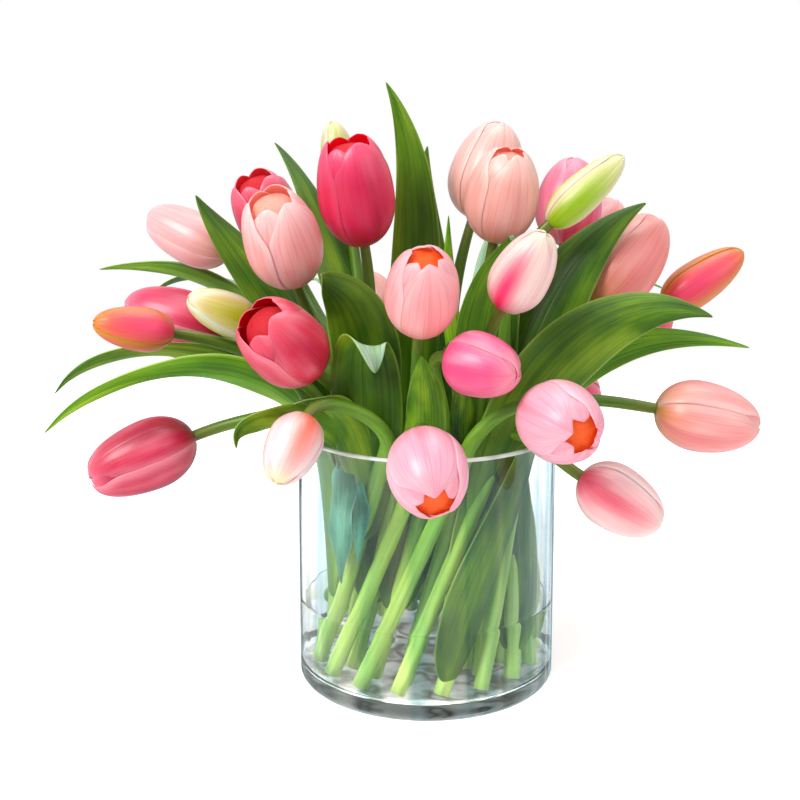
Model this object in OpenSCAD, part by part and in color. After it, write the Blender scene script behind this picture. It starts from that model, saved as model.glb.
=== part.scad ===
// Glass cylinder vase filled with a spiral bunch of artificial tulips.
// The origin is the centre of the vase's underside. +Z is up and -Y is the front.
// All sizes are in millimetres.

/* [Glass] */
// Outside diameter of the cylinder
vase_d = 150; // [125:1:190]
// Height of the cylinder
vase_h = 150; // [125:1:190]
// Thickness of the wall
wall = 3.5; // [2.5:0.1:5]
// Thickness of the floor
floor_t = 9; // [6:0.5:14]
// Radius of the outside corner at the foot
heel_r = 6; // [3:0.5:8]
// Radius of the inside corner at the floor
cove_r = 5; // [2:0.5:8]

/* [Stems] */
// Thickness of a stem at its foot
foot_d = 9; // [7:0.2:11]
// Thickness of a stem where it meets the bloom
neck_d = 6; // [4.5:0.1:7]
// Turn of the outer stems round the vase between foot and mouth
spiral = 60; // [40:1:70]
// Length of stem that plugs into the bloom
peg = 6; // [4:0.5:8]

/* [Blooms] */
// Size of every bloom against its usual size
bloom_scale = 1; // [0.8:0.01:1.2]
// Thickness of the petal shell
petal_t = 2.4; // [1.8:0.1:3]

/* [Leaves] */
// Thickness of a leaf at its midrib
leaf_t = 1.4; // [1:0.1:2]
// Width of every leaf against its usual width
leaf_scale = 1; // [0.8:0.01:1.2]

/* [Hidden] */
$fn = 96;

vase_r = vase_d / 2;
inner_r = vase_r - wall;
lip_r = wall / 2;

usual_vase_r = 75;          // the radius for which the tables below are written
fit = 0.2;                  // clearance between a core or a peg and its shell
foot_gap = 0.4;             // clearance between a stem's foot and the floor

stem_sides = 8;
stem_steps = 9;             // rings between the mouth and the bloom
leaf_steps = 9;             // rings along a leaf

// The stems stand in three rings that turn the same way, so that no two cross.
// Each ring is [radius at the foot, radius at the mouth, share of the spiral].
foot_inset = inner_r - foot_d / 2;
rings = [
    [foot_inset - 7, foot_inset - 9, 1],
    [foot_inset - 23, foot_inset - 23, 0.85],
    [foot_inset - 37, foot_inset - 36, 0.7],
];
outer = 0;
middle = 1;
inner = 2;

bud = [0.36, 1.00];         // [height of the widest place, how far the top closes]
closed = [0.40, 1.02];
open = [0.42, 1.12];

// One row for each tulip, with the neck measured from the middle of the mouth:
// [right, back, above the mouth, heading, lift, length, width, form, ring, place in the ring]
tulips = [
    [-118, 30, 96, 160, 22, 58, 34, closed, outer, 158],
    [-87, 58, 95, -130, 60, 58, 41, open, middle, 152],
    [-75, -5, 85, -110, 58, 65, 45, open, middle, 178],
    [-36, 2, 106, -115, 72, 68, 45, open, inner, 180],
    [27, 48, 116, 20, 72, 62, 45, closed, middle, 64],
    [38, 0, 109, -67, 68, 60, 43, open, inner, 0],
    [83, 55, 99, 60, 75, 56, 42, closed, middle, 34],
    [67, -20, 120, 0, 43, 57, 24, bud, middle, -24],
    [95, 10, 70, 25, 46, 68, 45, closed, middle, 4],
    [140, 30, 66, 11, 33, 60, 28, bud, outer, 0],
    [40, -60, 80, -42, 56, 52, 33, bud, middle, -54],
    [-4, -60, 69, -85, 49, 62, 41, open, middle, -104],
    [-120, 10, 51, 171, 15, 63, 42, closed, outer, 180],
    [-141, -30, 60, -154, 12, 47, 26, bud, outer, -158],
    [-96, -20, 63, -145, 25, 47, 26, bud, middle, -157],
    [-61, -50, 43, -135, 41, 56, 44, open, middle, -131],
    [12, -75, 56, -40, -4, 45, 36, bud, middle, -80],
    [-129, -40, 4, -159, -18, 63, 41, closed, outer, -135],
    [-63, -75, 24, -119, -43, 43, 31, bud, outer, -112],
    [-4, -93, 17, -78, -28, 53, 43, open, outer, -90],
    [58, -75, 29, -66, -4, 54, 44, open, outer, -67],
    [129, -20, 16, 0, -10, 62, 42, closed, outer, -22],
    [82, -70, -9, -13, -30, 51, 37, closed, outer, -45],
    [-50, 62, 130, 170, 80, 46, 24, bud, middle, 128],
    [96, 86, 76, 30, 60, 56, 40, closed, outer, 45],
    [108, 70, 43, 34, 6, 58, 42, closed, outer, 22],
    [-85, 90, 45, 130, 15, 60, 42, closed, outer, 135],
    [-34, 108, 31, 100, 35, 60, 43, closed, outer, 112],
    [38, 108, 30, 78, 5, 58, 42, closed, outer, 90],
    [80, 88, 5, 55, -20, 56, 40, closed, outer, 67],
];

// One row for each leaf: [stem it grows on, share of that stem's straight part where it starts,
// three more points of its midrib measured from the middle of the mouth,
// [width, way it faces, roll at the base, roll at the tip]]
leaves = [
    [24, 0.6, [-10, 28, 60], [6, 26, 145], [-24, 18, 198], [28, -90, 0, 10]],
    [24, 0.7, [-44, 26, 60], [-62, 68, 130], [-96, 88, 160], [24, -90, 0, 30]],
    [3, 0.7, [-60, 6, 60], [-118, 14, 104], [-135, 18, 133], [27, -90, 0, 30]],
    [2, 0.75, [-66, 30, 60], [-144, 60, 93], [-205, 70, 82], [20, -180, 40, 50]],
    [14, 0.75, [-57, -32, 54], [-160, -60, 62], [-208, -60, 10], [20, -180, 50, 50]],
    [13, 0.85, [-78, -10, 50], [-180, -30, 68], [-212, -20, 23], [15, -180, 40, 60]],
    [16, 0.8, [-56, -50, 26], [-94, -82, 28], [-108, -86, 12], [19, -150, 30, 80]],
    [19, 0.75, [-40, -46, 16], [-54, -58, 34], [-72, -66, 28], [20, -110, 10, 20]],
    [4, 0.85, [-27, -17, 45], [-34, -25, 95], [-72, -39, 90], [36, 180, 100, 120]],
    [19, 0.6, [-26, -52, 34], [-46, -58, 78], [-20, -86, 58], [36, -100, 0, 0]],
    [17, 0.8, [0, -56, 22], [-1, -64, 42], [-3, -66, 55], [19, -90, 0, 0]],
    [17, 0.9, [4, -36, 18], [8, -38, 38], [12, -42, 58], [15, -80, 0, 0]],
    [11, 0.8, [20, -44, 16], [23, -50, 32], [16, -50, 48], [14, -70, 0, 0]],
    [8, 0.8, [52, -14, 50], [80, -6, 112], [125, 6, 130], [36, 0, -80, -130]],
    [23, 0.7, [52, -48, 50], [108, -50, 95], [156, -40, 72], [34, 0, -60, -130]],
    [22, 0.08, [24, -38, 6], [80, -30, 80], [179, -30, 53], [27, 0, -45, -120]],
    [6, 0.7, [29, -14, 45], [28, -15, 103], [66, -32, 120], [34, 0, -100, -120]],
    [5, 0.7, [2, 34, 70], [-6, 46, 120], [0, 50, 160], [22, -90, 0, 0]],
    [6, 0.9, [11, 0, 50], [12, -5, 90], [12, -5, 124], [9, -90, 0, 0]],
    [30, 0.6, [34, 52, 50], [46, 116, 112], [60, 160, 100], [28, 60, 0, 20]],
    [28, 0.7, [-24, 56, 46], [-66, 120, 96], [-100, 170, 50], [26, 120, 0, 20]],
    [25, 0.7, [44, 42, 46], [104, 92, 94], [160, 130, 60], [26, 40, 0, 20]],
    [27, 0.7, [-54, 32, 46], [-126, 62, 100], [-176, 96, 64], [24, 150, 0, 20]],
    [29, 0.7, [-4, 60, 46], [-4, 130, 90], [-14, 185, 10], [24, 90, 0, 10]],
    [18, 0.25, [-58, -18, -30], [-58, -32, 20], [-78, -42, 36], [26, -160, 0, 20]],
];

function two(n) = n < 10 ? str("0", n) : str(n);
stem_names = ["outer_stems", "middle_stems", "inner_stems"];
bloom_names = [for (i = [1:len(tulips)]) str("bloom_", two(i))];
leaf_names = [for (i = [1:len(leaves)]) str("leaf_", two(i))];

// ---- Vectors and curves ----

function unit(v) = v / norm(v);
function heading_vector(h, lift) = [cos(lift) * cos(h), cos(lift) * sin(h), sin(lift)];
function bezier(p, t) =
    pow(1 - t, 3) * p[0] + 3 * pow(1 - t, 2) * t * p[1] + 3 * (1 - t) * t * t * p[2] + pow(t, 3) * p[3];
function bezier_slope(p, t) =
    pow(1 - t, 2) * (p[1] - p[0]) + 2 * (1 - t) * t * (p[2] - p[1]) + t * t * (p[3] - p[2]);

// A point of the tables, moved out or in with the vase's own radius and up with its height.
function placed(p) =
    let (r = norm([p[0], p[1]]), grow = (vase_r - usual_vase_r) * min(1, r / usual_vase_r))
    [p[0] * (1 + grow / max(r, 1)), p[1] * (1 + grow / max(r, 1)), p[2] + vase_h];

// A closed skin over rings of points, with a flat cap at each end.
module skin(rings_of_points) {
    n = len(rings_of_points[0]);
    last = len(rings_of_points) - 1;
    sides = [
        for (i = [0:last - 1], j = [0:n - 1])
            each [
                [i * n + j, (i + 1) * n + j, i * n + (j + 1) % n],
                [(i + 1) * n + j, (i + 1) * n + (j + 1) % n, i * n + (j + 1) % n],
            ]
    ];
    caps = [
        for (j = [1:n - 2])
            each [
                [0, j, j + 1],
                [last * n, last * n + j + 1, last * n + j],
            ]
    ];
    polyhedron(points = [for (ring = rings_of_points) each ring], faces = concat(sides, caps), convexity = 4);
}

// ---- Stems ----

function neck(row) = placed([row[0], row[1], row[2]]);
function axis(row) = heading_vector(row[3], row[4]);
function stem_foot(row) =
    let (ring = rings[row[8]], a = row[9] - spiral * ring[2])
    [ring[0] * cos(a), ring[0] * sin(a), floor_t + foot_gap + foot_d / 4];
function stem_gate(row) =
    let (ring = rings[row[8]])
    [ring[1] * cos(row[9]), ring[1] * sin(row[9]), vase_h];
function stem_curve(row) =
    let (
        foot = stem_foot(row),
        gate = stem_gate(row),
        reach = norm(neck(row) - gate) * 0.38
    )
    [gate, gate + unit(gate - foot) * reach, neck(row) - axis(row) * reach, neck(row)];

// Each entry is [point, direction, radius].
function stem_stations(row) =
    let (
        foot = stem_foot(row),
        gate = stem_gate(row),
        curve = stem_curve(row),
        rise = unit(gate - foot)
    )
    concat(
        [[foot, rise, foot_d / 2], [(foot + gate) / 2, rise, foot_d / 2]],
        [
            for (i = [0:stem_steps])
                let (t = i / stem_steps)
                [bezier(curve, t), unit(bezier_slope(curve, t)), (foot_d + (neck_d - foot_d) * t) / 2]
        ],
        [[neck(row) + axis(row) * peg, axis(row), neck_d / 2]]
    );

module stem(row) {
    across = [-sin(row[9]), cos(row[9]), 0];
    skin([
        for (s = stem_stations(row))
            let (u = unit(cross(s[1], across)), v = cross(s[1], u))
            [for (k = [0:stem_sides - 1])
                s[0] + s[2] * (u * cos(360 * k / stem_sides) - v * sin(360 * k / stem_sides))]
    ]);
}

module stem_ring(ring) {
    color("yellowgreen")
        for (row = tulips) if (row[8] == ring) stem(row);
}

// ---- Blooms ----

function bloom_length(row) = row[5] * bloom_scale;
function bloom_radius(row) = row[6] * bloom_scale / 2;

// Half outline of a bloom, inset by the given amount, from the base up to the share `top` of its length.
function outline(row, inset, top) =
    let (
        l = bloom_length(row),
        r = bloom_radius(row) - inset,
        wide = l * row[7][0],
        low = wide - inset,
        high = (l - wide) * row[7][1],
        socket = neck_d / 2 + fit,
        start = acos(min(1, socket / r)),
        end = asin(min(1, (l * top - wide) / high))
    )
    concat(
        [for (k = [0:5]) let (a = start * (1 - k / 5)) [r * cos(a), wide - low * sin(a)]],
        [for (k = [1:6]) let (a = end * k / 6) [r * cos(a), wide + high * sin(a)]]
    );

module petal_shell(row) {
    outer_side = outline(row, 0, 0.985);
    inner_side = outline(row, petal_t, 0.97);
    count = len(inner_side);
    rotate_extrude()
        polygon(concat(outer_side, [for (i = [count - 1:-1:0]) inner_side[i]]));
}

module foam_core(row) {
    side = outline(row, petal_t + fit, 0.72);
    count = len(side);
    hole_top = peg + fit;
    rotate_extrude()
        polygon(concat(
            [[0, side[count - 1][1]]],
            [for (i = [count - 1:-1:0]) if (side[i][1] > hole_top + 1) side[i]],
            [[0, hole_top + 1]]
        ));
}

module at_neck(row) {
    translate(neck(row)) rotate([0, 90 - row[4], row[3]]) children();
}

module bloom(i) {
    color("lightpink") at_neck(tulips[i]) petal_shell(tulips[i]);
}

module bloom_cores() {
    color("orangered")
        for (row = tulips) at_neck(row) foam_core(row);
}

// ---- Leaves ----

// Width along the leaf: a narrow sheath, a broad middle and a pointed tip.
function leaf_width(t) = 0.34 * (1 - t) + 1.02 * pow(sin(180 * pow(t, 0.85)), 0.9) * (1 - 0.25 * t) + 0.02;

// A leaf starts against the side of its stem that it faces away from.
function leaf_root(row) =
    let (host = tulips[row[0] - 1], foot = stem_foot(host), gate = stem_gate(host))
    foot + (gate - foot) * row[1] + heading_vector(row[5][1], 0) * foot_d * 0.45;

module leaf(i) {
    row = leaves[i];
    look = row[5];
    curve = concat([leaf_root(row)], [for (k = [2:4]) placed(row[k])]);
    across = [-sin(look[1]), cos(look[1]), 0];
    color("forestgreen") skin([
        for (s = [0:leaf_steps])
            let (
                t = s / leaf_steps,
                p = bezier(curve, t),
                along = unit(bezier_slope(curve, t)),
                flat = unit(across - along * (across * along)),
                roll = look[2] + (look[3] - look[2]) * t,
                wide = flat * cos(roll) + cross(along, flat) * sin(roll),
                face = cross(along, wide),
                half = look[0] * leaf_scale * leaf_width(t) / 2,
                cup = half * 0.28,
                thick = leaf_t * (0.45 + 0.55 * (1 - t))
            )
            [
                p - wide * half + face * cup,
                p - wide * half * 0.5 + face * (cup * 0.25 + thick / 2),
                p + face * thick / 2,
                p + wide * half * 0.5 + face * (cup * 0.25 + thick / 2),
                p + wide * half + face * cup,
                p + wide * half * 0.5 + face * (cup * 0.25 - thick / 2),
                p - face * thick / 2,
                p - wide * half * 0.5 + face * (cup * 0.25 - thick / 2),
            ]
    ]);
}

// ---- Glass ----

// Straight-sided cylinder with a rounded lip, a rounded heel and a coved floor, cast in one piece.
module glass_cylinder() {
    color("lightcyan", 0.35) difference() {
        union() {
            translate([0, 0, heel_r]) cylinder(r = vase_r, h = vase_h - heel_r - lip_r);
            cylinder(r = vase_r - heel_r, h = heel_r + 0.01);
            rotate_extrude() translate([vase_r - heel_r, heel_r]) circle(r = heel_r);
            translate([0, 0, vase_h - lip_r]) rotate_extrude() translate([vase_r - lip_r, 0]) circle(r = lip_r);
        }
        translate([0, 0, floor_t + cove_r]) cylinder(r = inner_r, h = vase_h);
        translate([0, 0, floor_t]) cylinder(r = inner_r - cove_r, h = vase_h);
        translate([0, 0, floor_t + cove_r]) rotate_extrude() translate([inner_r - cove_r, 0]) circle(r = cove_r);
    }
}

glass_cylinder();
for (ring = [outer, middle, inner]) stem_ring(ring);
for (i = [0:len(tulips) - 1]) bloom(i);
bloom_cores();
for (i = [0:len(leaves) - 1]) leaf(i);
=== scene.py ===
import math
import random

import bmesh
import bpy
from mathutils import Matrix, Vector


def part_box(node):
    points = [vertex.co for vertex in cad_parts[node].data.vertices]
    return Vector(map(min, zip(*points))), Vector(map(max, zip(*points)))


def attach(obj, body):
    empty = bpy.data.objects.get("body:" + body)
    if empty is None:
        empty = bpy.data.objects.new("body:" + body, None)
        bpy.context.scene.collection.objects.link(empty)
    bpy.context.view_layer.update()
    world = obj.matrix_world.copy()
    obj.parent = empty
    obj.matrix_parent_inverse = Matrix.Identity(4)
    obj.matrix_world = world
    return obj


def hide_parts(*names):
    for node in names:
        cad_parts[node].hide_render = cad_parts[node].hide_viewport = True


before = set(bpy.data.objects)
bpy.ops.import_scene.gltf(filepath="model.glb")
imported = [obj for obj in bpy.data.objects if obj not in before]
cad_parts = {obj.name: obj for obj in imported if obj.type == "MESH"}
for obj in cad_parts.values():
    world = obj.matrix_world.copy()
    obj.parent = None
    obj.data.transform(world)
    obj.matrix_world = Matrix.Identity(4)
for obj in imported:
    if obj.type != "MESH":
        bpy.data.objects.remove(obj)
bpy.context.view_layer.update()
mm = 0.001


def colour(code):  # sRGB hex to linear RGBA
    parts = [int(code[i:i + 2], 16) / 255 for i in (0, 2, 4)]
    linear = [p / 12.92 if p <= 0.04045 else ((p + 0.055) / 1.055) ** 2.4 for p in parts]
    return (*linear, 1)


def addNode(tree, kind, links=None, stops=None, **settings):  # one node with its settings and links
    node = tree.nodes.new("ShaderNode" + kind)
    for name, value in settings.items():
        setattr(node, name, value)
    for name, value in (links or {}).items():
        if isinstance(name, int):
            socket = node.inputs[name]
        else:
            socket = next(s for s in node.inputs if s.enabled and s.name == name)
        if isinstance(value, bpy.types.Node):
            value = next(s for s in value.outputs if s.enabled)
        if isinstance(value, bpy.types.NodeSocket):
            tree.links.new(value, socket)
        else:
            socket.default_value = value
    for place, code in stops or []:
        used = len(node.color_ramp.elements)
        first = stops.index((place, code))
        stop = node.color_ramp.elements[first] if first < used else node.color_ramp.elements.new(place)
        stop.position = place
        stop.color = colour(code)
    return node


def streaks(tree, place, scale, **settings):  # a noise stretched by its scale along each axis
    stretched = addNode(tree, "Mapping", {"Vector": place, "Scale": scale})
    return addNode(tree, "TexNoise", {"Vector": stretched, "Scale": 1.0, **settings}).outputs["Fac"]


def fromMidline(tree, parts):  # 0 on the midline of a petal or leaf, 1 on its margins
    u = addNode(tree, "Math", {0: parts.outputs["X"]}, operation="FRACT")
    centred = addNode(tree, "Math", {0: u, 1: 0.5}, operation="SUBTRACT")
    half = addNode(tree, "Math", {0: centred}, operation="ABSOLUTE")
    return addNode(tree, "Math", {0: half, 1: 2.0}, operation="MULTIPLY")


def perMetre(spacing):  # scale of a pattern on Object coordinates, for a spacing in millimetres
    return 1 / (spacing * mm)


def newMaterial(name):
    material = bpy.data.materials.new(name)
    material.use_nodes = True
    material.node_tree.nodes.clear()
    return material, material.node_tree


def makePiece(shape, name, materials, body, replaced):  # shape is in millimetres
    bmesh.ops.scale(shape, vec=(mm, mm, mm), verts=shape.verts)
    for face in shape.faces:
        face.smooth = True
    mesh = bpy.data.meshes.new(name)
    shape.to_mesh(mesh)
    shape.free()
    for material in materials:
        mesh.materials.append(material)
    piece = bpy.data.objects.new(name, mesh)
    bpy.context.scene.collection.objects.link(piece)
    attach(piece, body)
    if replaced:
        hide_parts(*replaced)
    return piece


def thicken(piece, thickness, levels, offset=-1.0):  # the wall's other side takes the second material
    wall = piece.modifiers.new("Thickness", "SOLIDIFY")
    wall.thickness = thickness * mm
    wall.offset = offset
    wall.material_offset = 1
    smooth = piece.modifiers.new("Smooth", "SUBSURF")
    smooth.levels = levels
    smooth.render_levels = levels


def smoothStep(x, low, high):
    t = min(1.0, max(0.0, (x - low) / (high - low)))
    return t * t * (3 - 2 * t)


def heading(angle, lift=0.0):
    a, b = math.radians(angle), math.radians(lift)
    return Vector((math.cos(b) * math.cos(a), math.cos(b) * math.sin(a), math.sin(b)))


def bezier(p, t):
    return p[0] * (1 - t) ** 3 + p[1] * 3 * (1 - t) ** 2 * t + p[2] * 3 * (1 - t) * t * t + p[3] * t ** 3


def bezierSlope(p, t):
    return (p[1] - p[0]) * (1 - t) ** 2 + (p[2] - p[1]) * 2 * (1 - t) * t + (p[3] - p[2]) * t * t


def arc(x, z, radius, start, end, count):
    angles = [math.radians(start + (end - start) * k / count) for k in range(count + 1)]
    return [(x + radius * math.cos(a), z + radius * math.sin(a)) for a in angles]


def spun(profile, turns):  # a closed body of revolution from its half section
    shape = bmesh.new()
    line = [shape.verts.new((r, 0, z)) for r, z in profile]
    for a, b in zip(line, line[1:]):
        shape.edges.new((a, b))
    bmesh.ops.spin(shape, geom=shape.verts[:] + shape.edges[:], cent=(0, 0, 0), axis=(0, 0, 1),
                   angle=math.tau, steps=turns, use_merge=True)
    bmesh.ops.remove_doubles(shape, verts=shape.verts, dist=0.001)
    bmesh.ops.recalc_face_normals(shape, faces=shape.faces)
    return shape


studio = {
    "cameraBack": 0.810,      # metres in front of the vase's axis
    "cameraUp": 0.355,
    "tiltDown": 9.7,          # degrees
    "turnLeft": 1.1,
    "lens": 64.2,
    "shiftDown": 0.108,
    "floorRadius": 0.9,
    "floorGrain": 111,        # millimetres
    "windowBands": 3.2,       # how closely the bands of the room follow each other
    "ambient": 0.50,
    "mirrored": 1.2,
}

camera = bpy.data.objects.new("camera", bpy.data.cameras.new("camera"))
bpy.context.scene.collection.objects.link(camera)
camera.location = (0, -studio["cameraBack"], studio["cameraUp"])
camera.rotation_euler = (math.radians(90 - studio["tiltDown"]), 0, math.radians(studio["turnLeft"]))
camera.data.lens = studio["lens"]
camera.data.sensor_width = 36
camera.data.shift_y = -studio["shiftDown"]
camera.data.clip_start = 0.01
bpy.context.scene.camera = camera
bpy.context.scene.view_settings.view_transform = "Standard"
bpy.context.scene.view_settings.look = "None"

lamps = {  # name: [place, size, watts, colour]
    "keyLight": [(-1.2, -1.1, 1.5), 1.0, 36, "FFFDF8"],
    "fillLight": [(1.5, -1.0, 0.7), 1.2, 7, "F6FAFF"],
    "topLight": [(0.2, 0.3, 1.9), 1.2, 13, "FFFFFF"],
}
for name, (place, size, watts, code) in lamps.items():
    lamp = bpy.data.objects.new(name, bpy.data.lights.new(name, "AREA"))
    bpy.context.scene.collection.objects.link(lamp)
    lamp.data.shape = "DISK"
    lamp.data.size = size
    lamp.data.energy = watts
    lamp.data.color = colour(code)[:3]
    lamp.location = place
    aim = Vector((0, 0, 0.2)) - Vector(place)
    lamp.rotation_euler = aim.to_track_quat("-Z", "Y").to_euler()
    lamp.visible_camera = False


def makeWorld():  # white to the eye, with window bands where glass mirrors it
    world = bpy.data.worlds.new("studio")
    bpy.context.scene.world = world
    world.use_nodes = True
    tree = world.node_tree
    tree.nodes.clear()
    path = addNode(tree, "LightPath")
    way = addNode(tree, "TexCoord")
    parts = addNode(tree, "SeparateXYZ", {"Vector": way.outputs["Generated"]})
    bearing = addNode(tree, "Math", {0: parts.outputs["Y"], 1: parts.outputs["X"]}, operation="ARCTAN2")
    lookup = addNode(tree, "CombineXYZ", {"X": bearing, "Y": 0.0, "Z": 0.0})
    bands = addNode(tree, "TexNoise", {
        "Vector": lookup, "Scale": studio["windowBands"], "Detail": 3.0, "Roughness": 0.6})
    windows = [(0.40, "7E8A90"), (0.52, "B8C4CA"), (0.57, "FFFFFF"), (0.62, "CFE4F4"), (0.68, "8C989E")]
    mirrored = addNode(tree, "ValToRGB", {"Fac": bands.outputs["Fac"]}, stops=windows)
    above = addNode(tree, "MapRange", {"Value": parts.outputs["Z"], "From Min": 0.15, "From Max": 0.5})
    front = addNode(tree, "MapRange", {"Value": parts.outputs["Y"], "From Min": -0.6, "From Max": 0.0})
    shaded = addNode(tree, "Mix", {"Factor": front.outputs["Result"], "A": colour("16191A"),
                                   "B": mirrored.outputs["Color"]}, data_type="RGBA")
    sky = addNode(tree, "Mix", {"Factor": above.outputs["Result"], "A": shaded, "B": (1, 1, 1, 1)},
                  data_type="RGBA")
    bright = addNode(tree, "Background", {"Color": sky, "Strength": studio["mirrored"]})
    room = [(0.35, "5E5650"), (0.47, "9A8F88"), (0.55, "F4F4F4"), (0.60, "A79E98"), (0.68, "6E6660")]
    smoky = addNode(tree, "ValToRGB", {"Fac": bands.outputs["Fac"]}, stops=room)
    up = addNode(tree, "MapRange", {"Value": parts.outputs["Z"], "From Min": 0.0, "From Max": 0.06})
    through = addNode(tree, "Mix", {
        "Factor": up.outputs["Result"], "A": (1, 1, 1, 1), "B": smoky.outputs["Color"]}, data_type="RGBA")
    seenThrough = addNode(tree, "Background", {"Color": through, "Strength": 1.0})
    plain = addNode(tree, "Background", {"Color": (1, 1, 1, 1), "Strength": 1.0})
    soft = addNode(tree, "Background", {"Color": colour("FFFDF8"), "Strength": studio["ambient"]})
    shone = addNode(tree, "Math", {0: path.outputs["Glossy Depth"], 1: 0.5}, operation="GREATER_THAN")
    spread = addNode(tree, "Math", {0: path.outputs["Diffuse Depth"], 1: 0.5}, operation="GREATER_THAN")
    direct = addNode(tree, "MixShader", {
        "Fac": path.outputs["Is Transmission Ray"], 1: soft, 2: seenThrough})
    mirror = addNode(tree, "MixShader", {"Fac": shone, 1: direct, 2: bright})
    ambient = addNode(tree, "MixShader", {"Fac": spread, 1: mirror, 2: soft})
    seen = addNode(tree, "MixShader", {"Fac": path.outputs["Is Camera Ray"], 1: ambient, 2: plain})
    addNode(tree, "OutputWorld", {"Surface": seen})


def makeFloor():  # matt white laminate, lit until it meets the backdrop
    material, tree = newMaterial("whiteLaminate")
    place = addNode(tree, "TexCoord")
    grain = addNode(tree, "TexNoise", {
        "Vector": place.outputs["Object"], "Scale": perMetre(studio["floorGrain"]), "Detail": 2.0})
    tint = addNode(tree, "ValToRGB", {"Fac": grain.outputs["Fac"]}, stops=[(0.3, "FAFAFA"), (0.7, "FFFFFF")])
    surface = addNode(tree, "BsdfPrincipled", {
        "Base Color": tint, "Roughness": 0.6, "Emission Color": (1, 1, 1, 1), "Emission Strength": 0.42})
    addNode(tree, "OutputMaterial", {"Surface": surface})
    shape = bmesh.new()
    bmesh.ops.create_circle(shape, cap_ends=True, segments=96, radius=studio["floorRadius"])
    bmesh.ops.translate(shape, vec=(0, 0, -0.0003), verts=shape.verts)
    mesh = bpy.data.meshes.new("floor")
    shape.to_mesh(mesh)
    shape.free()
    mesh.materials.append(material)
    floor = bpy.data.objects.new("floor", mesh)
    bpy.context.scene.collection.objects.link(floor)
    floor.visible_glossy = False


makeWorld()
makeFloor()
print("studio ready")


vase = {
    "wall": 3.5,              # millimetres
    "floor": 9.0,
    "heel": 6.0,
    "cove": 5.0,
    "waterLevel": 49.0,
    "meniscus": 1.4,
    "turns": 144,
    "index": 1.5,             # refraction of soda glass
    "waterIndex": 1.06,       # lower than water's 1.33, so that the stems meet at the water line
    "waveWidth": 16.67,       # millimetres, the slow waves of a pressed wall, 143 mm long
    "waveLength": 142.9,
    "waveDepth": 2.0,
    "streakWidth": 23.81,     # upright streaks of tint
    "streakLength": 667.0,
    "rimWave": 16.67,
}
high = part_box("glass_cylinder")[1]
vaseRadius = high.x / mm
vaseHeight = high.z / mm
innerRadius = vaseRadius - vase["wall"]


def glassMaterial(name, index, tint, waviness, roughness=0.0):  # soda glass or still water, clear and smooth
    material, tree = newMaterial(name)
    place = addNode(tree, "TexCoord").outputs["Object"]
    wave, streak = perMetre(vase["waveWidth"]), perMetre(vase["streakWidth"])
    waves = streaks(tree, place, (wave, wave, perMetre(vase["waveLength"])), Detail=1.0)
    relief = addNode(tree, "Bump", {
        "Height": waves, "Strength": waviness, "Distance": vase["waveDepth"] * mm})
    tinted = streaks(tree, place, (streak, streak, perMetre(vase["streakLength"])), Detail=1.5)
    shade = addNode(tree, "ValToRGB", {"Fac": tinted},
                    stops=[(0.46, "FFFFFF"), (0.56, tint), (0.62, "FFFFFF"), (0.70, tint)])
    glass = addNode(tree, "BsdfGlass", {
        "Color": shade.outputs["Color"], "Roughness": roughness, "IOR": index, "Normal": relief})
    clear = addNode(tree, "BsdfTransparent", {"Color": (1, 1, 1, 1)})
    path = addNode(tree, "LightPath")
    both = addNode(tree, "MixShader", {"Fac": path.outputs["Is Shadow Ray"], 1: glass, 2: clear})
    addNode(tree, "OutputMaterial", {"Surface": both})
    return material


def rimHighlightMaterial():  # fire-polished rim, painted pale white: a painted highlight for the white line where the rim gathers the light of the whole wall
    material, tree = newMaterial("sodaGlassRimPaintedHighlight")
    place = addNode(tree, "TexCoord")
    waves = addNode(tree, "TexNoise", {
        "Vector": place.outputs["Object"], "Scale": perMetre(vase["rimWave"]), "Detail": 2.0})
    # painted highlight: pale white colours that make the rim show as a bright line
    pale = [(0.38, "C8D6D6"), (0.56, "F6FBFA")]
    shade = addNode(tree, "ValToRGB", {"Fac": waves.outputs["Fac"]}, stops=pale)
    surface = addNode(tree, "BsdfPrincipled", {
        "Base Color": shade, "Roughness": 0.08, "IOR": vase["index"], "Transmission Weight": 0.35,
        "Coat Weight": 0.5, "Coat Roughness": 0.03})
    addNode(tree, "OutputMaterial", {"Surface": surface})
    return material


def makeGlass():
    lip = vase["wall"] / 2
    corner = vaseRadius - vase["heel"]
    cove = innerRadius - vase["cove"]
    floor = vase["floor"]
    profile = [(0, 0), (corner * 0.5, 0), (corner - 1, 0)]
    profile += arc(corner, vase["heel"], vase["heel"], -90, 0, 8)
    profile += [(vaseRadius, z) for z in (vase["heel"] + 1, 40, 75, 110, vaseHeight - lip - 1)]
    profile += arc(vaseRadius - lip, vaseHeight - lip, lip, 0, 180, 10)
    profile += [(innerRadius, z) for z in (vaseHeight - lip - 1, 110, 75, 40, floor + vase["cove"] + 1)]
    profile += arc(cove, floor + vase["cove"], vase["cove"], 0, -90, 8)
    profile += [(cove - 1, floor), (cove * 0.5, floor), (0, floor)]
    shape = spun(profile, vase["turns"])
    for face in shape.faces:
        middle = face.calc_center_median()
        if middle.z < 0.1:  # the flat underside
            face.material_index = 1
        elif middle.z > vaseHeight - lip * 0.9:
            face.material_index = 2
    wall = glassMaterial("pressedSodaGlass", vase["index"], "E2F0F5", 0.10)
    # painted reflection: the underside's grey-brown streaks stand in for a dark surface mirrored in the base;
    # its roughness is the ground finish
    underside = glassMaterial("groundSodaGlassPaintedReflection", vase["index"], "A0968C", 0.2, 0.3)
    materials = [wall, underside, rimHighlightMaterial()]
    return makePiece(shape, "glassVase", materials, "vase", ["glass_cylinder"])


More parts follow.
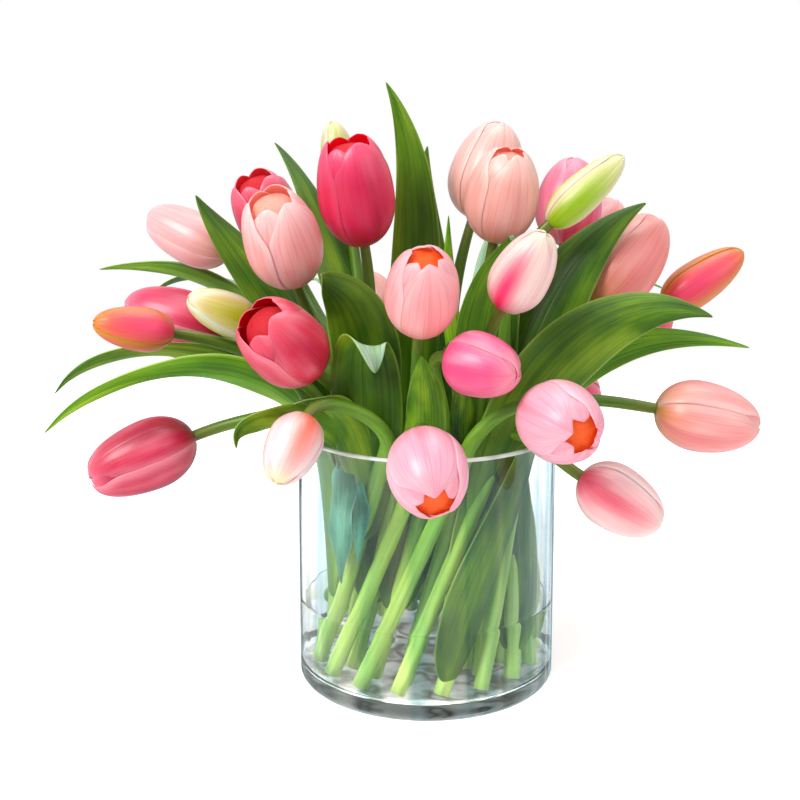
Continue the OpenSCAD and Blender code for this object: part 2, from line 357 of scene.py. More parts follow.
def makeWater():
    lap = 0.3  # into the glass, so that no air film shows between them
    level = vase["waterLevel"]
    cove = innerRadius - vase["cove"]
    floor = vase["floor"]
    profile = [(0, floor - lap), (cove * 0.5, floor - lap), (cove - 1, floor - lap)]
    profile += arc(cove, floor + vase["cove"], vase["cove"] + lap, -90, 0, 8)
    profile += [(innerRadius + lap, z) for z in (20, 30, 40, level - 1)]
    profile += [(innerRadius + lap, level + vase["meniscus"])]
    rim = [(innerRadius - x, level + vase["meniscus"] * math.exp(-x / 1.2)) for x in (0.4, 1, 2, 3.5, 6)]
    profile += rim + [(innerRadius * 0.6, level), (innerRadius * 0.3, level), (0, level)]
    shape = spun(profile, vase["turns"])
    material = glassMaterial("stillWater", vase["waterIndex"], "F8FCF4", 0.01)
    return makePiece(shape, "water", [material], "vase", [])


makeGlass()
makeWater()
print("glass and water ready")


stems = {
    "footRadius": 4.5,
    "neckRadius": 3.0,
    "spiral": 60.0,           # degrees from foot to mouth for the outer ring
    "peg": 6.0,
    "footGap": 0.4,
    "rings": {"outer": (60, 58, 1.0), "middle": (44, 44, 0.85), "inner": (30, 31, 0.7)},
    "sides": 14,
    "steps": 44,
    "straightPart": 0.42,     # share of the length from the foot to the mouth of the vase
    "neckPart": 0.96,         # share of the length at which the peg in the bloom starts
    "mottles": (9.0, 5.0),    # patches round the stem and along it, 3 mm and 50 mm
    "ribs": (22.0, 3.0),      # ribs round the stem, 1.3 mm apart
    "ribDepth": 0.6,
    "roughness": 0.38,
}
forms = {  # height of the widest place, angle at which the petals end, how far the dome is drawn out
    "bud": (0.36, 91, 1.0),
    "closed": (0.40, 87, 1.0),
    "open": (0.42, 68, 1.0),
    "wide": (0.42, 58, 1.1),
}
# The neck's place is counted from the middle of the vase's mouth. Heading, lift, place and turn are degrees,
# and the rest is in millimetres. Place is where the stem stands in its ring.
tulipColumns = ("right", "back", "above", "heading", "lift", "length", "width", "form", "ring", "place",
                "look", "turn", "parting")
tulipRows = [
    (-118, 30, 96, 160, 22, 58, 34, "closed", "outer", 158, "paleRose", 20, 3.0),
    (-87, 58, 95, -130, 60, 58, 41, "wide", "middle", 152, "rose", 40, 1.5),
    (-75, -5, 85, -110, 58, 65, 45, "wide", "middle", 178, "blush", 35, 0.5),
    (-36, 2, 106, -115, 72, 68, 45, "wide", "inner", 180, "crimson", 30, 1.0),
    (27, 48, 116, 20, 72, 62, 45, "closed", "middle", 64, "shell", 15, 0.5),
    (38, 0, 109, -67, 68, 60, 43, "open", "inner", 0, "peach", 30, 0.0),
    (83, 55, 99, 60, 75, 56, 42, "closed", "middle", 34, "rosePale", 40, 0.0),
    (67, -20, 120, 0, 43, 57, 24, "bud", "middle", -24, "limeBud", 15, 0.0),
    (95, 10, 70, 25, 46, 68, 45, "closed", "middle", 4, "salmon", 25, 0.5),
    (140, 30, 66, 11, 33, 60, 28, "bud", "outer", 0, "goldBud", 0, 0.0),
    (40, -60, 80, -42, 56, 52, 33, "bud", "middle", -54, "candy", -12, 0.0),
    (-4, -60, 69, -85, 49, 62, 41, "open", "middle", -104, "orangeMouth", 20, 0.0),
    (-120, 10, 51, 171, 15, 63, 42, "closed", "outer", 180, "cherryPale", 45, 1.5),
    (-141, -30, 60, -154, 12, 47, 26, "bud", "outer", -158, "goldBud", 5, 0.0),
    (-96, -20, 63, -145, 25, 47, 26, "bud", "middle", -157, "limePeach", 10, 0.0),
    (-61, -50, 43, -135, 41, 56, 44, "wide", "middle", -131, "redMouth", 20, 2.0),
    (12, -75, 56, -40, -4, 45, 36, "bud", "middle", -80, "magenta", 20, 0.5),
    (-129, -40, 4, -159, -18, 63, 41, "closed", "outer", -135, "cherry", 40, 2.5),
    (-63, -75, 24, -119, -43, 43, 31, "bud", "outer", -112, "coralWhite", -10, 0.0),
    (-4, -93, 17, -78, -28, 53, 43, "open", "outer", -90, "lilacPink", 0, 0.0),
    (58, -75, 29, -66, -4, 54, 44, "open", "outer", -67, "lilacPink", 10, 0.0),
    (129, -20, 16, 0, -10, 62, 42, "closed", "outer", -22, "salmonLined", 40, 0.0),
    (82, -70, -9, -13, -30, 51, 37, "closed", "outer", -45, "candyPale", 5, 1.5),
    (-50, 62, 130, 170, 80, 46, 24, "bud", "middle", 128, "limeBud", 20, 0.0),
    (96, 86, 76, 30, 60, 56, 40, "closed", "outer", 45, "blush", 20, 0.0),
    (108, 70, 43, 34, 6, 58, 42, "closed", "outer", 22, "rose", 20, 1.0),
    (-85, 90, 45, 130, 15, 60, 42, "closed", "outer", 135, "lilacPink", 20, 0.5),
    (-34, 108, 31, 100, 35, 60, 43, "closed", "outer", 112, "peach", 20, 0.5),
    (38, 108, 30, 78, 5, 58, 42, "closed", "outer", 90, "paleRose", 20, 1.0),
    (80, 88, 5, 55, -20, 56, 40, "closed", "outer", 67, "cherryPale", 20, 1.0),
]
tulips = [dict(zip(tulipColumns, row)) for row in tulipRows]


def neckOf(row):
    return Vector((row["right"], row["back"], row["above"] + vaseHeight))


def footOf(row):
    radius, _, share = stems["rings"][row["ring"]]
    lift = vase["floor"] + stems["footGap"] + stems["footRadius"] / 2
    return heading(row["place"] - stems["spiral"] * share) * radius + Vector((0, 0, lift))


def gateOf(row):
    return heading(row["place"]) * stems["rings"][row["ring"]][1] + Vector((0, 0, vaseHeight))


def stemMaterial():  # moulded soft polyethylene over wire: waxy, pale at the foot and olive at the neck
    material, tree = newMaterial("mouldedPolyethyleneStem")
    uv = addNode(tree, "UVMap")
    parts = addNode(tree, "SeparateXYZ", {"Vector": uv})
    footToNeck = [(0.0, "C4E47C"), (0.25, "A4D04C"), (0.45, "7CB030"), (0.8, "5E8A20"), (1.0, "74782A")]
    tone = addNode(tree, "ValToRGB", {"Fac": parts.outputs["Y"]}, stops=footToNeck)
    mottled = streaks(tree, uv, (*stems["mottles"], 1.0), Detail=3.0)
    light = addNode(tree, "ValToRGB", {"Fac": mottled}, stops=[(0.35, "D4D8CC"), (0.62, "FFFFFF")])
    paint = addNode(tree, "Mix", {"Factor": 1.0, "A": tone.outputs["Color"], "B": light.outputs["Color"]},
                    data_type="RGBA", blend_type="MULTIPLY")
    ribs = streaks(tree, uv, (*stems["ribs"], 1.0), Detail=2.0)
    relief = addNode(tree, "Bump", {"Height": ribs, "Strength": 0.25, "Distance": stems["ribDepth"] * mm})
    surface = addNode(tree, "BsdfPrincipled", {
        "Base Color": paint, "Roughness": stems["roughness"], "Subsurface Weight": 0.12,
        "Subsurface Radius": (0.5, 1.0, 0.2), "Subsurface Scale": 0.002, "Normal": relief})
    addNode(tree, "OutputMaterial", {"Surface": surface})
    return material


def stemStation(row, share):  # point, direction and radius at a share of the stem's length
    foot, gate, neck = footOf(row), gateOf(row), neckOf(row)
    axis = heading(row["heading"], row["lift"])
    straight, bent = stems["straightPart"], stems["neckPart"]
    rise = (gate - foot).normalized()
    reach = (neck - gate).length * 0.38
    curve = [gate, gate + rise * reach, neck - axis * reach, neck]
    if share < straight:
        return foot + (gate - foot) * (share / straight), rise, stems["footRadius"]
    if share < bent:
        t = (share - straight) / (bent - straight)
        radius = stems["footRadius"] + (stems["neckRadius"] - stems["footRadius"]) * t
        return bezier(curve, t), bezierSlope(curve, t).normalized(), radius
    return neck + axis * stems["peg"] * (share - bent) / (1 - bent), axis, stems["neckRadius"]


def addStem(shape, uvLayer, number, row, rng):
    grid = bmesh.ops.create_grid(shape, x_segments=stems["sides"], y_segments=stems["steps"], size=1)
    verts = grid["verts"]
    faces = {face for vert in verts for face in vert.link_faces}
    for face in faces:
        for loop in face.loops:
            x, y = loop.vert.co.x, loop.vert.co.y
            loop[uvLayer].uv = ((x + 1) / 2 + number, (y + 1) / 2)
    side = heading(row["place"] + 90)
    phase = rng.uniform(0, math.tau)
    for vert in verts:
        share = (vert.co.y + 1) / 2
        point, along, radius = stemStation(row, share)
        u = along.cross(side).normalized()
        v = along.cross(u)
        angle = vert.co.x * math.pi
        radius *= 1 + 0.03 * math.sin(share * 23 + phase) + 0.02 * math.sin(angle * 3 + phase)
        vert.co = point + (u * math.cos(angle) + v * math.sin(angle)) * radius
    return verts


def makeStems():
    material = stemMaterial()
    rng = random.Random(5)
    for ring in stems["rings"]:
        shape = bmesh.new()
        uvLayer = shape.loops.layers.uv.new("UVMap")
        for number, row in enumerate(tulips):
            if row["ring"] == ring:
                addStem(shape, uvLayer, number, row, rng)
        bmesh.ops.remove_doubles(shape, verts=shape.verts, dist=0.01)
        ends = [edge for edge in shape.edges if edge.is_boundary]
        bmesh.ops.holes_fill(shape, edges=ends, sides=0)
        bmesh.ops.recalc_face_normals(shape, faces=shape.faces)
        makePiece(shape, ring + "Stems", [material], "bouquet", [ring + "_stems"])


makeStems()
print("stems ready")


petals = {
    "across": 12,
    "along": 20,
    "halfAngle": 67.0,        # degrees, so that neighbours overlap
    "outerInset": 0.3,
    "innerInset": 1.5,
    "bulge": 1.1,             # how far a petal's edges sit inside its middle
    "lap": 0.55,              # one edge lies over the next petal and the other under it
    "drop": 0.09,             # how much lower a petal's corners are than its tip
    "thickness": 0.8,
    "span": 41.4,             # a petal's width along its curve, millimetres
    "patchSize": 13.8,        # millimetres, as are the two spacings
    "raySpacing": 2.5875,
    "veinSpacing": 0.9,
    "veinDepth": 0.7,
    "roughness": 0.38,
    "coat": 0.28,
    "paintedGlow": 0.16,             # painted glow: emission that stands in for light coming through the petals into the mouth
}
# base, lower, body, tip, streak, edge and inside, then the streak's width and strength, and the slot
looks = {
    "paleRose": ("F0A48C", "F2AFA6", "F3B3B5", "F2BBC6", "DE8E98", "F5C9CC", "F3B6A2",
        0.12, 0.5, "pale_pink"),
    "rose": ("D01A4A", "E02E58", "EA406A", "F26480", "B81A44", "F47C98", "E0303C",
        0.30, 0.5, "hot_pink"),
    "blush": ("F09884", "F79892", "FAA8A8", "FBCCCA", "F58A8A", "FBD6D8", "F49A88",
        0.50, 0.4, "light_pink"),
    "crimson": ("A80028", "C8083C", "D81450", "F0507C", "B00030", "E8486E", "F40A24",
        0.16, 0.6, "crimson"),
    "shell": ("E49C7A", "F2A898", "F6B8B0", "FAD0C8", "E8988E", "FAD4D0", "F2AE98",
        0.20, 0.4, "pale_pink"),
    "peach": ("EE9A78", "F4A08C", "F7AEA4", "FAC8C0", "E88478", "FACEC6", "F08870",
        0.20, 0.4, "light_pink"),
    "rosePale": ("E02050", "EC4470", "EF6E92", "F4A0B6", "D83464", "F6A8BC", "E83048",
        0.12, 0.4, "hot_pink"),
    "limeBud": ("7E9A10", "B8CC30", "EAE0A8", "E4ECB4", "96C400", "F4DCC8", "E8D8A0",
        1.30, 1.0, "lime_bud"),
    "salmon": ("B07E18", "E48E6A", "F48E88", "F6AAA0", "EA6E70", "F8B8B0", "E86060",
        0.30, 0.5, "salmon"),
    "goldBud": ("8E7A10", "D0782C", "EE6444", "DC8C1C", "F63E6C", "CC8A10", "D88A28",
        0.95, 1.0, "coral_gold"),
    "candy": ("F03A6C", "F6B8BC", "F8DDD6", "F4EFCB", "F8286C", "F7C8C6", "F4C0B8",
        0.60, 1.0, "white_pink"),
    "orangeMouth": ("EE9A80", "F7968F", "F9A0A2", "FAB4BC", "EC7C84", "FBBEC2", "F08C70",
        0.20, 0.5, "light_pink"),
    "cherryPale": ("A00830", "CE1446", "E22E60", "F08AA2", "98083A", "F298AC", "D02040",
        0.45, 0.6, "hot_pink"),
    "limePeach": ("D8A040", "D8B860", "EACC90", "E8F0D0", "B8C800", "E6F0DC", "E8D080",
        1.20, 1.0, "coral_gold"),
    "redMouth": ("A00428", "C01238", "D41E48", "E85870", "A80834", "F08898", "B00012",
        0.40, 0.6, "crimson"),
    "magenta": ("E02C7C", "EC4284", "F05A8E", "F79AAC", "E02474", "F6A2B4", "E03068",
        0.30, 0.5, "magenta"),
    "cherry": ("8A0430", "B60C3C", "CC1A4A", "EA6A80", "86042C", "F092A2", "E04058",
        0.50, 0.7, "hot_pink"),
    "coralWhite": ("F6A090", "F8C0B4", "F9E2E2", "F0E896", "FF6A4E", "F7D8E0", "F4A898",
        0.70, 0.9, "white_pink"),
    "lilacPink": ("F29CB2", "F6A2B8", "F8A8BE", "F69CB0", "DE7490", "FAC4D2", "E4540F",
        0.16, 0.6, "light_pink"),
    "salmonLined": ("B88C1C", "EE9A7C", "F69C9A", "F7B2AA", "DE7076", "FAC8C2", "EE8480",
        0.30, 0.6, "salmon"),
    "candyPale": ("E83C68", "F08898", "F7B8BA", "F8D8D2", "EA4068", "FBE4E2", "F4A8A8",
        0.55, 0.8, "white_pink"),
}


def petalMaterial(name, look, inner):
    # Cast polyurethane, painted by hand: satin, a little translucent, with fine lengthwise veins.
    base, lower, body, tip, streak, edge, inside, width, strength, slot = look
    material, tree = newMaterial(name)
    uv = addNode(tree, "UVMap")
    parts = addNode(tree, "SeparateXYZ", {"Vector": uv})
    side = fromMidline(tree, parts)
    if inner:
        stops = [(0.0, base), (0.45, inside), (1.0, inside)]
    else:
        stops = [(0.03, base), (0.20, lower), (0.45, body), (0.72, body), (1.0, tip)]
    along = addNode(tree, "ValToRGB", {"Fac": parts.outputs["Y"]}, stops=stops)
    margin = colour(inside if inner else edge)
    across = {name: petals["span"] / petals[name] for name in ("patchSize", "raySpacing", "veinSpacing")}
    patches = streaks(tree, uv, (across["patchSize"], 1.6, 1.0), Detail=2.0)
    patch = addNode(tree, "MapRange", {
        "Value": patches, "From Min": 0.42, "From Max": 0.72, "To Max": 0.45},
        interpolation_type="SMOOTHSTEP")
    pale = addNode(tree, "Mix", {
        "Factor": patch.outputs["Result"], "A": along.outputs["Color"], "B": margin}, data_type="RGBA")
    rays = streaks(tree, uv, (across["raySpacing"], 1.4, 1.0), Detail=3.0, Roughness=0.6)
    spread = addNode(tree, "Math", {0: rays, 1: 0.5 * width, 2: width * 0.75}, operation="MULTIPLY_ADD")
    reach = addNode(tree, "MapRange", {
        "Value": side, "From Min": spread, "From Max": 0.0}, interpolation_type="SMOOTHSTEP")
    fade = addNode(tree, "MapRange", {
        "Value": parts.outputs["Y"], "From Min": 0.95, "From Max": 0.45,
        "To Max": strength * (0.3 if inner else 1.0)}, interpolation_type="SMOOTHSTEP")
    mask = addNode(tree, "Math", {
        0: reach.outputs["Result"], 1: fade.outputs["Result"]}, operation="MULTIPLY")
    streaked = addNode(tree, "Mix", {"Factor": mask, "A": pale, "B": colour(streak)}, data_type="RGBA")
    rim = addNode(tree, "MapRange", {
        "Value": side, "From Min": 0.85 - 0.4 * strength, "From Max": 1.0,
        "To Max": 0.3 + 0.6 * strength}, interpolation_type="SMOOTHSTEP")
    edged = addNode(tree, "Mix", {
        "Factor": rim.outputs["Result"], "A": streaked, "B": margin}, data_type="RGBA")
    veins = streaks(tree, uv, (across["veinSpacing"], 1.8, 1.0), Detail=3.0, Roughness=0.55)
    shade = addNode(tree, "ValToRGB", {"Fac": veins},
                    stops=[(0.28, "DDA6AC"), (0.42, "F4DCDF"), (0.58, "FFFFFF")])
    veined = addNode(tree, "Mix", {"Factor": 0.5, "A": edged, "B": shade.outputs["Color"]},
                     data_type="RGBA", blend_type="MULTIPLY")
    groove = addNode(tree, "MapRange", {
        "Value": side, "From Min": 0.0, "From Max": 0.05}, interpolation_type="SMOOTHSTEP")
    height = addNode(tree, "Math", {0: groove.outputs["Result"], 1: 0.5, 2: veins}, operation="MULTIPLY_ADD")
    relief = addNode(tree, "Bump", {"Height": height, "Strength": 0.35, "Distance": petals["veinDepth"] * mm})
    # The inside of a petal takes a painted glow: emission in its inside colour for light through the petals.
    surface = addNode(tree, "BsdfPrincipled", {
        "Base Color": veined, "Roughness": petals["roughness"], "Normal": relief,
        "Subsurface Weight": 0.25, "Subsurface Radius": (1.0, 0.35, 0.3), "Subsurface Scale": 0.004,
        "Emission Color": colour(inside), "Emission Strength": petals["paintedGlow"] if inner else 0.0,
        "Coat Weight": petals["coat"], "Coat Roughness": 0.24})
    addNode(tree, "OutputMaterial", {"Surface": surface})
    return material


def bloomRadius(row, inset, angle):  # radius and height of the outline, by the angle from its widest ring
    length, radius, form = row["length"], row["width"] / 2, forms[row["form"]]
    wide = length * form[0]
    a = math.radians(angle)
    reach = wide if angle < 0 else (length * 0.99 - wide) * form[2]
    r = (radius - inset) * math.cos(a)
    z = wide + (reach - inset * 0.6) * math.sin(a)
    return r, z


def addPetal(shape, uvLayer, row, number, inner, rng):
    grid = bmesh.ops.create_grid(shape, x_segments=petals["across"], y_segments=petals["along"], size=1)
    verts = grid["verts"]
    faces = {face for vert in verts for face in vert.link_faces}
    for face in faces:
        for loop in face.loops:
            u = (loop.vert.co.x + 1) / 2 * 0.996 + 0.002
            loop[uvLayer].uv = (u + number, (loop.vert.co.y + 1) / 2)
    radius = row["width"] / 2
    start = -math.degrees(math.acos(3.2 / radius))
    end = forms[row["form"]][1] + rng.uniform(-3, 2)
    front = bloomPlace(row).inverted() @ Vector((0, -900, 380))
    middle = math.atan2(front.y, front.x) + math.radians(row["turn"] + number * 120 + (60 if inner else 0))
    middle += math.radians(rng.uniform(-5, 5))
    halfAngle = math.radians(petals["halfAngle"] * rng.uniform(0.95, 1.05))
    inset = petals["innerInset"] if inner else petals["outerInset"]
    loosened = row["parting"] * rng.uniform(0.5, 1.3)
    drop = petals["drop"] * rng.uniform(0.8, 1.25)
    twist = rng.uniform(-0.12, 0.12)
    ripple = rng.uniform(0, math.tau)
    for vert in verts:
        x, s = vert.co.x, (vert.co.y + 1) / 2
        level = s - drop * abs(x) ** 1.8 * s ** 4
        r, z = bloomRadius(row, inset, start + (end - start) * level)
        narrow = 1 - 0.48 * smoothStep(s, 0.72, 1.06)
        side = x * halfAngle * narrow
        tuck = petals["bulge"] * x * x * smoothStep(s, 0.05, 0.35)
        lapped = petals["lap"] * x ** 3
        keel = 0.35 * math.exp(-(x / 0.10) ** 2) * smoothStep(s, 0.15, 0.4)
        parted = loosened * smoothStep(level, 0.55, 1.0)
        wave = 0.35 * math.sin(s * 9 + x * 4 + ripple) * abs(x) ** 2 * smoothStep(s, 0.4, 0.9)
        tipCurl = -0.8 * smoothStep(s, 0.92, 1.0)
        r = max(0.6, r - tuck + lapped - keel + parted + wave + tipCurl)
        angle = middle + side + twist * s * s
        vert.co = (r * math.cos(angle), r * math.sin(angle), z - 0.4 * keel)


def bloomPlace(row):
    turned = Matrix.Rotation(math.radians(row["heading"]), 4, "Z")
    tipped = Matrix.Rotation(math.radians(90 - row["lift"]), 4, "Y")
    return Matrix.Translation(neckOf(row)) @ turned @ tipped


def makeBlooms():
    made = {}
    for index, row in enumerate(tulips):
        look = looks[row["look"]]
        if row["look"] not in made:
            made[row["look"]] = [petalMaterial("castPolyurethanePetal_" + row["look"], look, False),
                             petalMaterial("castPolyurethaneInside_" + row["look"], look, True)]
        rng = random.Random(100 + index)
        shape = bmesh.new()
        uvLayer = shape.loops.layers.uv.new("UVMap")
        for inner in (False, True):
            for number in range(3):
                addPetal(shape, uvLayer, row, number, inner, rng)
        bmesh.ops.transform(shape, matrix=bloomPlace(row), verts=shape.verts)
        name = "tulip{:02d}".format(index + 1)
        bloom = makePiece(shape, name, made[row["look"]], "bouquet", ["bloom_{:02d}".format(index + 1)])
        thicken(bloom, petals["thickness"], 1)


cores = {
    "bead": 1.54,             # millimetres across
    "gap": 4.2,               # between the outline of the bloom and the core
    "turns": 20,
    "colours": {"orange": ("EA5A14", "D84A0C"), "red": ("C4061E", "A80018"), "peach": ("F4A090", "E88878")},
    "mouths": {"crimson": "red", "redMouth": "red", "rose": "red", "orangeMouth": "orange",
               "lilacPink": "orange"},
}


def coreMaterial(name, code, dark):  # expanded polystyrene, dyed: matt, and its beads just show; its emission is a painted glow for light through the petals
    material, tree = newMaterial(name)
    place = addNode(tree, "TexCoord")
    beads = addNode(tree, "TexVoronoi", {
        "Vector": place.outputs["Object"], "Scale": perMetre(cores["bead"])}).outputs["Distance"]
    shade = addNode(tree, "ValToRGB", {"Fac": beads}, stops=[(0.2, code), (1.0, dark)])
    relief = addNode(tree, "Bump", {"Height": beads, "Strength": 0.15, "Distance": -0.0004})
    surface = addNode(tree, "BsdfPrincipled", {
        "Base Color": shade, "Roughness": 0.75, "Normal": relief,
        "Emission Color": colour(code), "Emission Strength": petals["paintedGlow"]})
    addNode(tree, "OutputMaterial", {"Surface": surface})
    return material


def coreProfile(row):  # half section: a flat seat at the bottom, a dome cut off under the mouth
    radius = row["width"] / 2 - cores["gap"]
    wide = row["length"] * forms[row["form"]][0]
    high = (row["length"] - wide) * 0.97 - 2.0
    top = min(0.97, (row["length"] * 0.86 - wide) / high)
    domeAngles = [math.asin(top) * k / 5 for k in range(6)]
    side = [(radius * math.cos(a), wide + high * math.sin(a)) for a in domeAngles]
    seatAngles = [0.3 * k for k in range(4, 0, -1)]
    low = [(radius * math.cos(a), wide - (wide - 7.5) * math.sin(a)) for a in seatAngles]
    return [(0, low[0][1])] + low + side + [(0, side[-1][1] + 1.0)]


def makeCores():
    order = list(cores["colours"])
    together = bmesh.new()
    for row in tulips:
        core = spun(coreProfile(row), cores["turns"])
        bmesh.ops.transform(core, matrix=bloomPlace(row), verts=core.verts)
        for face in core.faces:
            face.material_index = order.index(cores["mouths"].get(row["look"], "peach"))
        part = bpy.data.meshes.new("core")
        core.to_mesh(part)
        core.free()
        together.from_mesh(part)
        bpy.data.meshes.remove(part)
    materials = [coreMaterial("dyedPolystyrenePaintedGlow_" + name, *cores["colours"][name]) for name in order]
    makePiece(together, "foamCores", materials, "bouquet", ["bloom_cores"])


makeBlooms()
makeCores()
print("blooms ready")


leafStyle = {
    "across": 10,
    "along": 30,
    "thickness": 0.9,
    "ripple": 1.6,            # height of the waves along the margins
    "cup": 0.30,
    "span": 33.6,             # millimetres across a broad leaf
    "zoneWidth": 21.0,        # of the patches of light and dark green
    "veinSpacing": 1.4,
    "veinDepth": 0.9,
    "roughness": 0.48,
}
# Host is the number of the tulip it grows on, and share is where along the straight part of its stem.
# Low, middle and tip lie on its midrib, counted from the middle of the mouth. Blade is its width, the way
# it faces, and its roll at the base and at the tip. Bend turns the tip over.
leafColumns = ("host", "share", "low", "middle", "tip", "blade", "bend", "green")
leafRows = [
    (24, 0.60, (-10, 28, 60), (6, 26, 145), (-24, 18, 198), (28, -90, 0, 10), 0, "fresh"),
    (24, 0.70, (-44, 26, 60), (-62, 68, 130), (-96, 88, 160), (24, -90, 0, 30), 0, "deep"),
    (3, 0.70, (-60, 6, 60), (-118, 14, 104), (-135, 18, 133), (27, -90, 0, 30), 0, "deep"),
    (2, 0.75, (-66, 30, 60), (-144, 60, 93), (-205, 70, 82), (20, -180, 40, 50), 0, "fresh"),
    (14, 0.75, (-57, -32, 54), (-160, -60, 62), (-208, -60, 10), (20, -180, 50, 50), 0, "bright"),
    (13, 0.85, (-78, -10, 50), (-180, -30, 68), (-212, -20, 23), (15, -180, 40, 60), 0, "fresh"),
    (16, 0.80, (-56, -50, 26), (-94, -82, 28), (-108, -86, 12), (19, -150, 30, 80), 60, "fresh"),
    (19, 0.75, (-40, -46, 16), (-54, -58, 34), (-72, -66, 28), (20, -110, 10, 20), 0, "fresh"),
    (4, 0.85, (-27, -17, 45), (-34, -25, 95), (-72, -39, 90), (36, 180, 100, 120), 75, "deep"),
    (19, 0.60, (-26, -52, 34), (-46, -58, 78), (-20, -86, 58), (36, -100, 0, 0), 100, "deep"),
    (17, 0.80, (0, -56, 22), (-1, -64, 42), (-3, -66, 55), (19, -90, 0, 0), 0, "fresh"),
    (17, 0.90, (4, -36, 18), (8, -38, 38), (12, -42, 58), (15, -80, 0, 0), 0, "deep"),
    (11, 0.80, (20, -44, 16), (23, -50, 32), (16, -50, 48), (14, -70, 0, 0), 0, "deep"),
    (8, 0.80, (52, -14, 50), (80, -6, 112), (125, 6, 130), (36, 0, -80, -130), 0, "deep"),
    (23, 0.70, (52, -48, 50), (108, -50, 95), (156, -40, 72), (34, 0, -60, -130), 0, "deep"),
    (22, 0.08, (24, -38, 6), (80, -30, 80), (179, -30, 53), (27, 0, -45, -120), 0, "fresh"),
    (6, 0.70, (29, -14, 45), (28, -15, 103), (66, -32, 120), (34, 0, -100, -120), 85, "deep"),
    (5, 0.70, (2, 34, 70), (-6, 46, 120), (0, 50, 160), (22, -90, 0, 0), 0, "deep"),
    (6, 0.90, (11, 0, 50), (12, -5, 90), (12, -5, 124), (9, -90, 0, 0), 0, "bright"),
    (30, 0.60, (34, 52, 50), (46, 116, 112), (60, 160, 100), (28, 60, 0, 20), 0, "fresh"),
    (28, 0.70, (-24, 56, 46), (-66, 120, 96), (-100, 170, 50), (26, 120, 0, 20), 0, "fresh"),
    (25, 0.70, (44, 42, 46), (104, 92, 94), (160, 130, 60), (26, 40, 0, 20), 0, "deep"),
    (27, 0.70, (-54, 32, 46), (-126, 62, 100), (-176, 96, 64), (24, 150, 0, 20), 0, "deep"),
    (29, 0.70, (-4, 60, 46), (-4, 130, 90), (-14, 185, 10), (24, 90, 0, 10), 0, "fresh"),
    (18, 0.25, (-58, -18, -30), (-58, -32, 20), (-78, -42, 36), (26, -160, 0, 20), 0, "fresh"),
]
sheathRows = [  # short inner leaves that fill the cylinder between the stems, set out in the same way
    (28, 0.10, (10, 48, -90), (0, 44, -40), (-18, 38, 20), (40, -90, 0, 0), 0, "deep"),
    (29, 0.10, (38, 36, -90), (32, 34, -40), (16, 34, 25), (40, -90, 0, 0), 0, "deep"),
    (27, 0.10, (-20, 44, -90), (-32, 38, -40), (-44, 28, 20), (38, -90, 0, 0), 0, "deep"),
    (1, 0.10, (-34, 26, -90), (-46, 16, -40), (-48, 6, 30), (34, -90, 0, 0), 0, "fresh"),
    (25, 0.10, (46, 4, -90), (46, 14, -40), (38, 24, 25), (34, -90, 0, 0), 0, "fresh"),
    (26, 0.12, (50, -14, -90), (50, -4, -40), (48, 8, 25), (28, -90, 0, 0), 0, "deep"),
    (12, 0.30, (-32, -20, -50), (-24, -26, -20), (-14, -30, 30), (30, -90, 0, 0), 0, "deep"),
    (17, 0.30, (-12, -32, -60), (0, -32, -20), (8, -32, 30), (30, -90, 0, 0), 0, "deep"),
    (22, 0.06, (16, -67, -100), (40, -61, -45), (66, -32, 26), (25, -60, 0, 0), 0, "deep"),
    (18, 0.95, (-50, -40, -24), (-50, -41, -50), (-47, -44, -80), (22, -140, 180, 180), 0, "teal"),
    (18, 0.90, (-38, -48, -24), (-38, -50, -40), (-37, -52, -66), (14, -125, 180, 180), 0, "teal"),
    (29, 0.03, (46, 22, -128), (42, 18, -112), (36, 14, -80), (36, -90, 0, 0), 0, "bright"),
    (28, 0.03, (26, 24, -128), (20, 16, -112), (14, 12, -80), (36, -90, 0, 0), 0, "bright"),
    (1, 0.03, (0, 26, -128), (-2, 16, -112), (-6, 12, -80), (36, -90, 0, 0), 0, "bright"),
    (13, 0.03, (-24, 24, -128), (-26, 14, -112), (-30, 10, -80), (36, -90, 0, 0), 0, "bright"),
    (14, 0.03, (-44, 24, -128), (-46, 12, -112), (-50, 6, -80), (34, -90, 0, 0), 0, "bright"),
]
leaves = [dict(zip(leafColumns, row)) for row in leafRows]
sheaths = [dict(zip(leafColumns, row)) for row in sheathRows]
greens = {  # shade, body, light zone, margin
    "deep": ("2A4E04", "467206", "7A9E14", "9CB850"),
    "fresh": ("3C6804", "5A8E08", "90B61C", "B2CC6C"),
    "bright": ("4E8808", "70AE0C", "A2CE28", "C6E088"),
    "teal": ("1F6A50", "3A8E70", "6FBCA2", "A8DCD0"),
}
leafUndersides = ("6F9E58", "A4CFB0", "BFE0D0")


